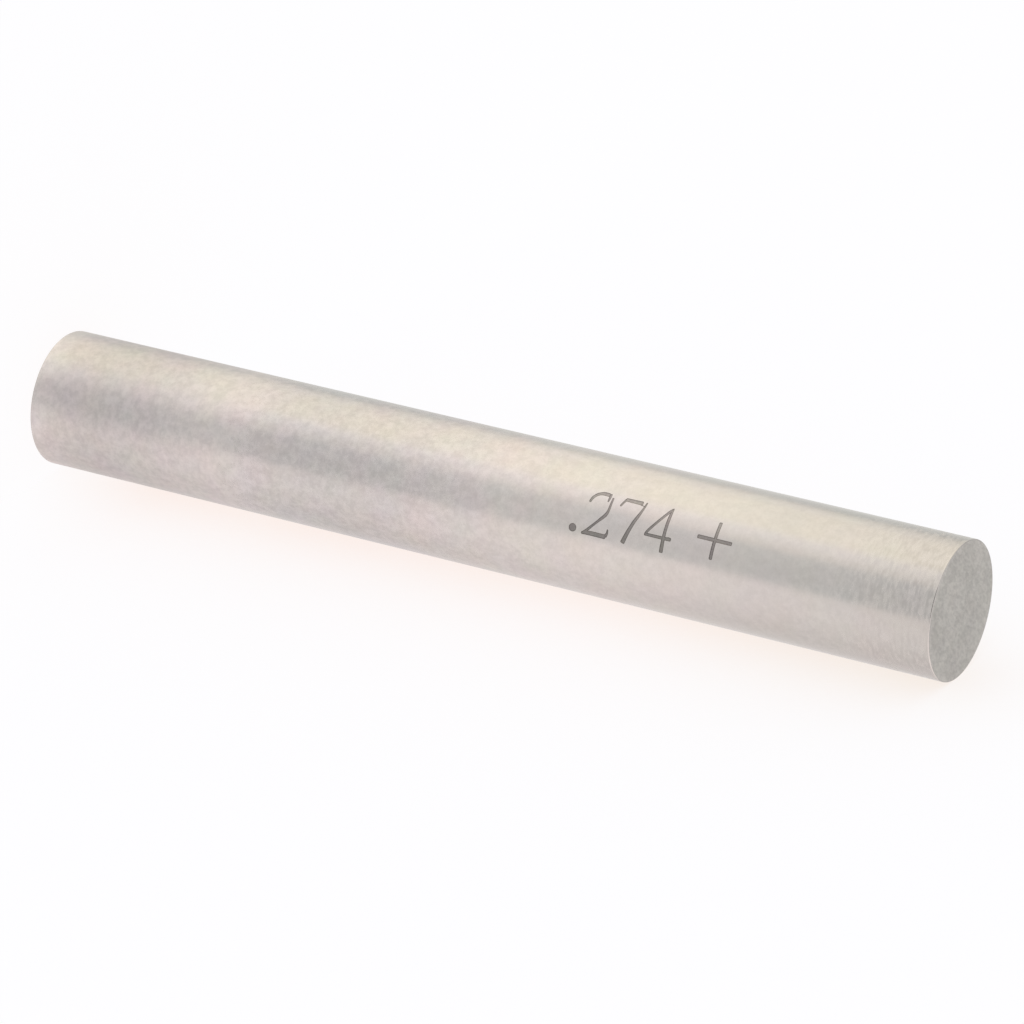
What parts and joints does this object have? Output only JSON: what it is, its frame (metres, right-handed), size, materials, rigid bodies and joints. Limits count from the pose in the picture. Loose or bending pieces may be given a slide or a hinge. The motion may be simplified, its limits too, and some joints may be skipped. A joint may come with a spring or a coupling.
{
  "type": "pin gauge",
  "caption": "Plain cylindrical pin gauge: a slim ground steel pin with flat square ends and lightly broken edges, for checking the size of a hole.",
  "frame": {"origin": "centre of the lower, unmarked end face, on the pin's axis, with the pin standing on that end", "axes": "+Z along the pin's axis, up to the end nearer the size mark; the size mark faces -Y"},
  "size_m": [0.007, 0.007, 0.0508],
  "materials": {
    "lapped_steel": "hardened gauge steel, ground and lapped to a fine satin"
  },
  "bodies": {
    "root": {"gauge_pin": "lapped_steel"}
  },
  "joints": []
}
